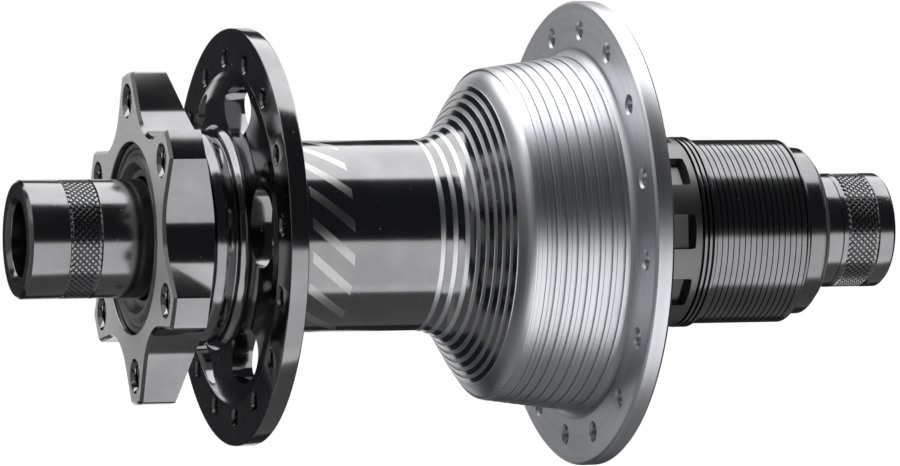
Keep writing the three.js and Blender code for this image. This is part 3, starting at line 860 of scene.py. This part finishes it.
def makeThread():
    # a helical thread on a sleeve: its rows run along the helix, so both edges of the groove stay crisp
    d = driver
    around = 160
    section = threadSection
    turns = math.ceil((d["threadEnd"] - d["threadStart"]) / d["pitch"]) + 1
    angles = np.arange(around) * 2 * math.pi / around
    verts = []
    for turn in range(turns):
        for share, depth in section:
            x = d["threadStart"] + (turn - 1 + share + angles / (2 * math.pi)) * d["pitch"]
            inside = np.minimum(x - d["threadStart"], d["threadEnd"] - x)
            r = d["thread"] - d["threadDepth"] * depth * np.clip(inside / 0.3, 0, 1)
            x = np.clip(x, d["threadStart"], d["threadEnd"])
            verts += [(px * mm, -pr * mm * math.sin(a), pr * mm * math.cos(a))
                      for px, pr, a in zip(x, r, angles)]
    rows = turns * len(section)
    inner = (d["land"] - 0.4) * mm
    for x in (d["threadEnd"], d["threadStart"]):
        verts += [(x * mm, -inner * math.sin(a), inner * math.cos(a)) for a in angles]
    faces = []
    for i in range(rows - 1):
        a, b = i * around, (i + 1) * around
        faces += [(a + k, a + k + 1, b + k + 1, b + k) for k in range(around - 1)]
        low, high = (min(i + len(section) + n, rows - 1) * around for n in (0, 1))
        faces.append((a + around - 1, low, high, b + around - 1))
    # the first turn has no row before it at angle 0, so a fan closes it
    faces += [(0, i * around, (i + 1) * around) for i in range(1, len(section))]
    for a, b in ((rows - 1, rows), (rows, rows + 1), (rows + 1, 0)):
        for k in range(around):
            n = (k + 1) % around
            faces.append((a * around + k, a * around + n, b * around + n, b * around + k))
    return tidied(meshFrom("driverThread", verts, faces, [blackSatin]))


# radius at which the cutter's own origin is set, in mm
valleyCentre = 16.0


def valleyCutter():
    # one valley between two splines: flat floor, sloped sides, and a slanted end wall
    d = driver
    start, end = d["splineStart"] - 1, d["splineEnd"] - 1.1
    low, wide, over = d["valleyWide"] / 2, d["mouthWide"] / 2, valleyCentre + 2.0
    verts, faces = [], []
    for x, lift in ((start, 0.0), (end - d["valleyRamp"], 0.0), (end, 1.6)):
        floor = d["valley"] + lift
        for y, z in ((-low, floor), (low, floor), (wide, over), (-wide, over)):
            verts.append((x * mm, y * mm, (z - valleyCentre) * mm))
    for a in (0, 4):
        faces += [(a + k, a + (k + 1) % 4, a + 4 + (k + 1) % 4, a + 4 + k) for k in range(4)]
    faces += [(3, 2, 1, 0), (8, 9, 10, 11)]
    return tidied(meshFrom("valleyCutter", verts, faces, [blackCast]))


def makeDriver():
    d = driver
    inner = span("driver_bearing_inner_outer_race")
    outer = span("driver_bearing_outer_outer_race")
    points = [
        (driverStart, d["seat"], 0.1, 0),
        (driverStart, d["carrier"], 0.5, 0),
        (d["carrierEnd"], d["carrier"], 0.3, 0),
        (d["carrierEnd"], d["neckRadius"], 0.4, 0),
        (d["splineStart"], d["neckRadius"], 0.2, 1),
        (d["splineStart"] + 0.2, d["spline"], 0.2, 1),
        (d["splineEnd"], d["spline"], 0.15, 0),
        (d["splineEnd"] + 0.05, d["ringFloor"], 0.08, 0),
    ]
    for x in d["rings"]:
        w = d["ringWidth"]
        points += [
            (x - 0.05, d["ringFloor"], 0.05, 0), (x, d["ring"], 0.1, 0),
            (x + w, d["ring"], 0.1, 0), (x + w + 0.05, d["ringFloor"], 0.05, 0),
        ]
    points += [
        (d["threadStart"] + 0.1, d["ringFloor"], 0.0, 0),
        (d["threadStart"] + 0.2, d["thread"] - 0.5, 0.0, 0),
        (d["threadEnd"] - 0.1, d["thread"] - 0.5, 0.0, 0),
        (d["threadEnd"] - 0.05, d["thread"], 0.05, 0),
        (d["threadEnd"] + 0.3, d["thread"], 0.2, 0),
        (d["threadEnd"] + 1.0, d["land"], 0.25, 0),
        (driverEnd - d["edge"] - 0.35, d["land"], 0.05, 0),
        (driverEnd - d["edge"] - 0.3, d["land"] - 0.12, 0.03, 0),
        (driverEnd - d["edge"] - 0.1, d["land"] - 0.12, 0.03, 0),
        (driverEnd - d["edge"], d["land"], 0.05, 0),
        (driverEnd, d["land"] - d["edge"], 0.08, 0),
        (driverEnd, d["seat"], 0.1, 0),
        (outer[0] - 0.1, d["seat"], 0.1, 0),
        (outer[0] - 0.1, d["bore"], 0.1, 0),
        (inner[1] + 0.1, d["bore"], 0.1, 0),
        (inner[1] + 0.1, d["seat"], 0.1, 0),
    ]
    body = lathe("driverBody", points, [blackSatin, blackCast], 192)
    valleys = copiesRound("valleys", valleyCutter(), blackCast, d["lugs"], valleyCentre, 0.0,
                          d["lugAngle"])
    cut(body, valleys)
    done(body, "driver", "black_alloy", "driver_body")
    done(makeThread(), "driver", "black_alloy")


# seals and small rings

dustSeal = dict(sink=0.5, inner=9.9, outer=15.25)
rearSeal = dict(inner=15.8, outer=24.1, web=0.9)
driverSeal = dict(inner=9.85, rim=12.5, outer=12.95, back=0.2)


def makeSeals():
    # each is a moulded ring whose front steps in and out between its inner lip and its rim
    d = dustSeal
    start = shellStart + d["sink"]
    back = span("dust_seal_left")[1]
    points = [
        (back, d["inner"], 0.1, 0), (start + 1.3, d["inner"], 0.2, 0), (start + 1.3, 11.0, 0.2, 0),
        (start + 0.5, 11.6, 0.3, 0), (start, 12.1, 0.3, 0), (start, 13.0, 0.3, 0),
        (start + 0.7, 13.5, 0.25, 0), (start + 0.7, 14.2, 0.2, 0), (start + 0.35, 14.45, 0.15, 0),
        (start + 0.35, d["outer"], 0.2, 0), (back, d["outer"], 0.1, 0),
    ]
    done(lathe("dustSeal", points, [rubber], 160), "shell", "seal_rubber", "dust_seal_left")
    d = rearSeal
    low, high = span("shell_seal_right")
    web = high - d["web"]
    points = [
        (low, d["inner"], 0.1, 0), (high - 0.8, d["inner"], 0.2, 0), (high - 0.2, 16.6, 0.3, 0),
        (web, 17.6, 0.3, 0), (web, 20.8, 0.3, 0), (high - 0.1, 21.4, 0.3, 0),
        (high, d["outer"], 0.3, 0), (low, d["outer"], 0.1, 0),
    ]
    done(lathe("rearSeal", points, [rubber], 160), "shell", "seal_rubber", "shell_seal_right")
    d = driverSeal
    low, high = span("driver_seal")
    step = driverEnd - d["back"]
    points = [
        (low, d["inner"], 0.1, 0), (high - 0.4, d["inner"], 0.25, 0), (high - 0.1, 10.6, 0.2, 0),
        (high - 0.35, 11.0, 0.15, 0), (high - 0.35, 11.6, 0.15, 0), (high, 11.8, 0.2, 0),
        (high, d["rim"], 0.15, 0), (step, d["rim"], 0.1, 0),
        (step, d["outer"], 0.05, 0), (low, d["outer"], 0.1, 0),
    ]
    done(lathe("driverSeal", points, [rubber], 160), "driver", "seal_rubber", "driver_seal")


# finishes for the pieces that are shown as the frame gives them; every other one is bearing steel
plainNodes = {
    "axle": steel, "bearing_spacer": steel, "driver_spacer": silver, "ratchet_ring": steel,
    "snap_ring_driver": steel, "o_ring_left": rubber, "o_ring_right": rubber,
    **{f"pawl_{k}": steel for k in (1, 2, 3)},
    **{f"pawl_pin_{k}": raceSteel for k in (1, 2, 3)},
}


def paintFrame():
    for name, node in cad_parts.items():
        look = plainNodes.get(name, raceSteel)
        for material in node.material_slots:
            material.material = look


# studio

studio = dict(
    azimuth=19.046, roll=-0.681, distance=822.3, lens=201.652, target=(-1.299, 0.0, 0.264),
    floorDepth=160.0, floorHalf=6.0,
)


def makeCamera():
    s = studio
    a = math.radians(s["azimuth"])
    back = Vector((-math.sin(a), -math.cos(a), 0))
    right = (-back).cross(Vector((0, 0, 1))).normalized()
    up = right.cross(-back)
    roll = math.radians(s["roll"])
    across = right * math.cos(roll) + up * math.sin(roll)
    upwards = up * math.cos(roll) - right * math.sin(roll)
    data = bpy.data.cameras.new("camera")
    data.sensor_width = 36
    data.lens = s["lens"]
    data.clip_start, data.clip_end = 0.05, 50
    camera = bpy.data.objects.new("camera", data)
    bpy.context.scene.collection.objects.link(camera)
    turn = Matrix((across, upwards, back)).transposed()
    place = Vector(s["target"]) * mm + back * s["distance"] * mm
    camera.matrix_world = Matrix.Translation(place) @ turn.to_4x4()
    bpy.context.scene.camera = camera


def card(name, place, facing, size, radiance):
    # a soft rectangular light in metres, with its brightness as a mirror would show it
    light = bpy.data.lights.new(name, "AREA")
    light.shape = "RECTANGLE"
    light.size, light.size_y = size
    light.energy = radiance * math.pi * size[0] * size[1]
    panel = bpy.data.objects.new(name, light)
    panel.location = place
    panel.rotation_mode = "QUATERNION"
    panel.rotation_quaternion = Vector(facing).to_track_quat("-Z", "Y")
    panel.visible_camera = False
    bpy.context.scene.collection.objects.link(panel)
    return panel


def makeStudio():
    # an overhead box, a low card in front, two behind, and dim ones at the left and below
    card("overheadBox", (0.22, 0.19, 0.5), (0, 0, -1), (1.36, 0.73), 2.6)
    card("frontCard", (0.1, -0.62, -0.36), (0, 0.5, 0.866), (1.6, 0.95), 1.5)
    card("leftCard", (-0.52, 0.55, 0.02), (0, -1, 0), (0.34, 0.3), 1.9)
    card("middleCard", (0.04, 0.56, 0.02), (0, -1, 0), (0.26, 0.5), 0.85)
    card("leftWall", (-1.1, -0.3, 0.0), (1, 0, 0), (1.3, 0.9), 0.2)
    card("leftTop", (-0.8, -0.1, 0.75), (0.73, 0, -0.68), (0.9, 0.9), 0.6)
    card("lowCard", (0.35, 0.15, -0.55), (0, 0, 1), (1.1, 0.9), 0.17)
    card("lowLeft", (-0.55, 0.15, -0.5), (0.3, 0, 1), (0.7, 0.9), 0.2)
    h, z = studio["floorHalf"], -studio["floorDepth"] * mm
    floor = meshFrom("floor", [(-h, -h, z), (h, -h, z), (h, h, z), (-h, h, z)], [(0, 1, 2, 3)], [])
    f = Finish("paleFloor")
    mottle = f.noise(f.node("ShaderNodeTexCoord", output=3), 3.0, 2.0)
    f.set(Base_Color=f.mix(mottle, grey(0.86), grey(0.9)), Roughness=0.9)
    f.set(Emission_Color=grey(1.0), Emission_Strength=1.0)
    floor.data.materials.append(f.material)
    floor.visible_glossy = False
    world = bpy.data.worlds.new("studio")
    bpy.context.scene.world = world
    world.use_nodes = True
    nodes, links = world.node_tree.nodes, world.node_tree.links
    background = nodes["Background"]
    rays = nodes.new("ShaderNodeLightPath")
    mix = nodes.new("ShaderNodeMix")
    mix.data_type = "RGBA"
    links.new(rays.outputs["Is Camera Ray"], mix.inputs[0])
    mix.inputs[6].default_value = (0.03, 0.031, 0.034, 1)
    mix.inputs[7].default_value = (1, 1, 1, 1)
    links.new(mix.outputs[2], background.inputs["Color"])
    bpy.context.scene.view_settings.view_transform = "Standard"


makeCamera()
makeStudio()
paintFrame()
makeLeftShell()
print("disc mount and left flange made")
makeRightShell()
print("barrel, drum and drive-side flange made")
makeEndCap("capLeft", capLeftEnd, 1, 0, leftKnurl, None, "end_cap_left", "cap_left")
makeEndCap("capRight", capRightEnd, -1, 1, rightKnurl, rightKnurl["groove"], "end_cap_right", "cap_right")
print("end caps made")
makeDriver()
makeSeals()
print("driver and seals made")
